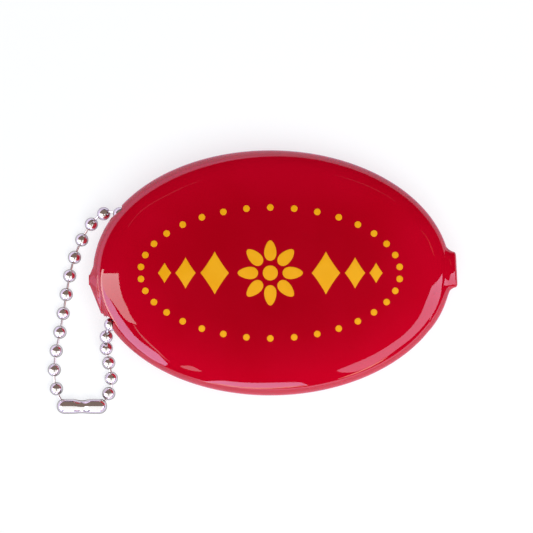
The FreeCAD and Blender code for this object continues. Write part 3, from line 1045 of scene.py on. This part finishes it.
def gloss_strip(name, brightness, colour, first_gain, edges):
    """A glowing strip round the purse through (azimuth, low, high) in degrees, azimuth 0 being +X.

    Its first row is brighter by first_gain, and this fades quickly along the strip.
    """
    points = []
    rows = rounded_rows(edges)
    for azimuth, low, high in rows:
        for height in (low, high):
            a, h = math.radians(azimuth), math.radians(height)
            points.append((math.cos(a) * math.cos(h), math.sin(a) * math.cos(h), math.sin(h)))
    faces = [(2 * i, 2 * i + 1, 2 * i + 3, 2 * i + 2) for i in range(len(rows) - 1)]
    mesh = bpy.data.meshes.new(name)
    mesh.from_pydata([Vector(p) * STRIP_DISTANCE for p in points], [], faces)
    gain = mesh.attributes.new("gain", "FLOAT", "POINT")
    left_to_go = np.repeat(np.linspace(1.0, 0.0, len(rows)), 2)
    gain.data.foreach_set("value", 1.0 + (first_gain - 1.0) * left_to_go ** FADE_POWER)
    strip = put_in_scene(name, mesh)
    strip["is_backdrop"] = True
    cloth, tree, shader = new_material(name + "_cloth")
    gain_here = add_node(tree, "ShaderNodeAttribute", attribute_name="gain").outputs["Fac"]
    glow = add_node(tree, "ShaderNodeEmission")
    set_inputs(tree, glow, Color=(*colour, 1.0), Strength=math_node(tree, "MULTIPLY", gain_here, brightness))
    show(tree, glow.outputs[0])
    mesh.materials.append(cloth)
    strip.visible_camera = strip.visible_diffuse = strip.visible_shadow = strip.visible_transmission = False
    return strip


print("a strip has", ROWS_BETWEEN, "rows for each given one, at", STRIP_DISTANCE, "m")

# %% The panels of the room
WARM, LAVENDER, CREAM = (1.0, 0.93, 0.95), (0.68, 0.62, 1.0), (1.0, 0.82, 0.64)
MAUVE, BLUSH, EMBER = (0.92, 0.70, 1.0), (1.0, 0.92, 0.92), (1.0, 0.30, 0.20)
PINK, PALE_PINK = (1.0, 0.9, 1.0), (1.0, 0.9, 0.95)
# Name, brightness, colour, gain of the first row, rows
PANELS = [
    ("left_window", 2.8, WARM, 1.45, [
        (180.4, 25.2, 48.6), (184.4, 22.6, 48.5), (190.9, 23.6, 48.3), (195.8, 27.9, 48.0),
        (199.1, 33.4, 47.6), (205.1, 36.2, 47.4), (208.7, 36.6, 46.3), (212.4, 37.9, 45.5),
        (214.9, 40.5, 44.9), (217.0, 44.0, 44.4)]),
    ("left_low_window", 4.2, LAVENDER, 1.0, [
        (186.0, 22.1, 22.7), (190.9, 20.0, 24.0), (195.8, 18.0, 28.5), (199.1, 16.9, 31.8),
        (203.9, 16.4, 33.0), (208.6, 16.4, 32.5), (212.7, 15.0, 33.0), (217.0, 8.0, 31.6),
        (225.8, 4.4, 29.3), (231.0, 3.0, 29.6), (236.0, 2.0, 27.0), (240.5, 6.0, 18.0)]),
    ("left_edge_line", 5.4, BLUSH, 1.0, [
        (177.4, 25.2, 26.5), (179.0, 21.7, 27.3), (184.3, 17.9, 23.1), (190.8, 14.5, 20.5),
        (197.1, 11.8, 18.6), (202.9, 10.8, 16.9), (207.9, 11.0, 16.4), (212.9, 10.0, 13.6),
        (216.0, 7.6, 8.4)]),
    ("left_feather", 1.5, WARM, 1.0, [
        (216.5, 41.2, 41.8), (222.0, 38.0, 39.4), (228.0, 35.2, 37.2), (234.0, 31.8, 33.6),
        (240.4, 24.8, 25.4)]),
    ("right_window", 2.15, MAUVE, 1.9, [
        (359.3, 21.4, 22.4), (354.5, 20.5, 32.0), (350.2, 19.5, 39.6), (344.0, 17.6, 40.9),
        (338.3, 17.0, 40.6), (328.8, 16.8, 37.8), (317.5, 18.4, 36.1), (310.0, 19.8, 36.5),
        (301.0, 16.5, 36.0), (294.5, 15.5, 35.4), (291.0, 22.0, 34.4), (288.8, 31.6, 33.0)]),
    ("right_edge_line", 4.2, CREAM, 1.0, [
        (287.6, 10.6, 11.2), (292.1, 10.2, 13.0), (299.0, 11.6, 15.0), (304.5, 14.6, 15.6)]),
    ("front_window", 3.6, LAVENDER, 1.25, [
        (252.9, 1.0, 2.4), (257.0, 7.0, 19.0), (262.0, 8.6, 23.0), (268.4, 11.2, 25.8),
        (273.0, 12.4, 26.2), (277.6, 13.4, 23.4), (279.4, 11.2, 12.0)]),
    ("front_edge_line", 4.4, CREAM, 1.0, [
        (252.7, 0.0, 1.2), (257.9, 4.0, 7.2), (263.2, 5.4, 8.8), (268.5, 7.9, 11.4),
        (274.8, 10.6, 13.4), (279.5, 10.5, 11.2)]),
    ("front_glint", 1.6, PINK, 1.0, [
        (244.3, 25.0, 27.5), (247.0, 24.5, 34.0), (250.7, 29.5, 31.0)]),
    ("far_left_line", 0.35, PALE_PINK, 1.0, [
        (147.9, 40.8, 41.2), (136.5, 38.4, 39.2), (123.2, 40.4, 41.2), (110.5, 39.4, 39.6)]),
    ("far_right_line", 0.35, PALE_PINK, 1.0, [
        (72.0, 33.4, 33.6), (64.0, 32.3, 33.1), (56.0, 31.5, 32.3), (46.5, 30.5, 30.7)]),
    ("right_glint_line", 1.3, EMBER, 1.0, [
        (30.0, 36.0, 36.4), (23.4, 34.6, 35.6), (17.0, 34.8, 36.2), (11.5, 35.0, 35.4)]),
]
strips = [gloss_strip(*panel) for panel in PANELS]
print(len(strips), "glowing strips for the gloss")

# %% [markdown]
# ## Cards for the chain
# Round metal mirrors the whole room at once, so a studio sets small cards for it alone: two white ones
# overhead in front with a slit between them, another further in front, and a warm grey one that reaches far
# behind. They give the balls their two bright panes and a brown crown. The long coupling would show the slit
# as a block, so it has a whole card instead. Light linking keeps all of them off the vinyl, where they would
# cloud the deep red face.

# %% Chain cards
CARD_HEIGHT = 0.5
CHAIN_X, CHAIN_Y = -0.046, -0.005
CARD_SIDE, SLIT_SIDE = 1.1, 0.07
IN_FRONT, FURTHER, BEHIND = (-0.34, -0.02), (-1.1, -0.34), (-0.34, 1.8)
WARM_SIDE, WARM_GREY = 1.6, (1.0, 0.75, 0.64)


def metal_group(name, pieces, parent):
    group = bpy.data.collections.new(name)
    parent.children.link(group)
    for piece in pieces:
        group.objects.link(piece)
    return group


def overhead_card(name, across, ahead, brightness, colour=WHITE):
    """A level card above the chain, given by its reach along X and along Y from the chain's middle."""
    middle = Vector((CHAIN_X + sum(across) / 2, CHAIN_Y + sum(ahead) / 2, CARD_HEIGHT))
    below = middle - Vector((0.0, 0.0, 1.0))
    return soft_box(name, middle, below, across[1] - across[0], ahead[1] - ahead[0], brightness, colour)


chain_group = metal_group("chain_metal", [], bpy.context.scene.collection)
threaded = metal_group("threaded_chain", metal_pieces[:-1], chain_group)
clasp = metal_group("chain_clasp", [coupling], chain_group)
whole = (-CARD_SIDE, CARD_SIDE)
cards = [
    (overhead_card("left_chain_card", (-CARD_SIDE, -SLIT_SIDE), IN_FRONT, 1.35), threaded),
    (overhead_card("right_chain_card", (SLIT_SIDE, CARD_SIDE), IN_FRONT, 1.2), threaded),
    (overhead_card("clasp_card", whole, IN_FRONT, 1.2), clasp),
    (overhead_card("front_chain_card", whole, FURTHER, 1.3), chain_group),
    (overhead_card("warm_chain_card", (-WARM_SIDE, WARM_SIDE), BEHIND, 0.24, WARM_GREY), chain_group),
]
for card, pieces in cards:
    card.light_linking.receiver_collection = pieces
print(len(cards), "cards light", len(metal_pieces), "metal pieces only")

# %% [markdown]
# ## Camera
# The purse is seen straight from above through a long lens, so that hardly any of its sides shows. The camera
# stands a little to the left of the purse's middle, as the chain lies there, and a little beyond it.

# %% Camera from above
FIELD = 0.1195
LENS, SENSOR = 400.0, 36.0
CAMERA_X, CAMERA_Y = -0.00085, 0.00143
camera_data = bpy.data.cameras.new("overhead_camera")
camera_data.lens, camera_data.sensor_width = LENS, SENSOR
camera = put_in_scene("overhead_camera", camera_data)
camera.location = (CAMERA_X, CAMERA_Y, RIM * MM + FIELD * LENS / SENSOR)
bpy.context.scene.camera = camera
bpy.context.scene.view_settings.view_transform = "Standard"
print("camera", round(camera.location.z, 3), "m above the floor")

# %% Size of the visual model
low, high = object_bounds()
print("visual box", [round(v / MM, 2) for v in high - low], "mm")
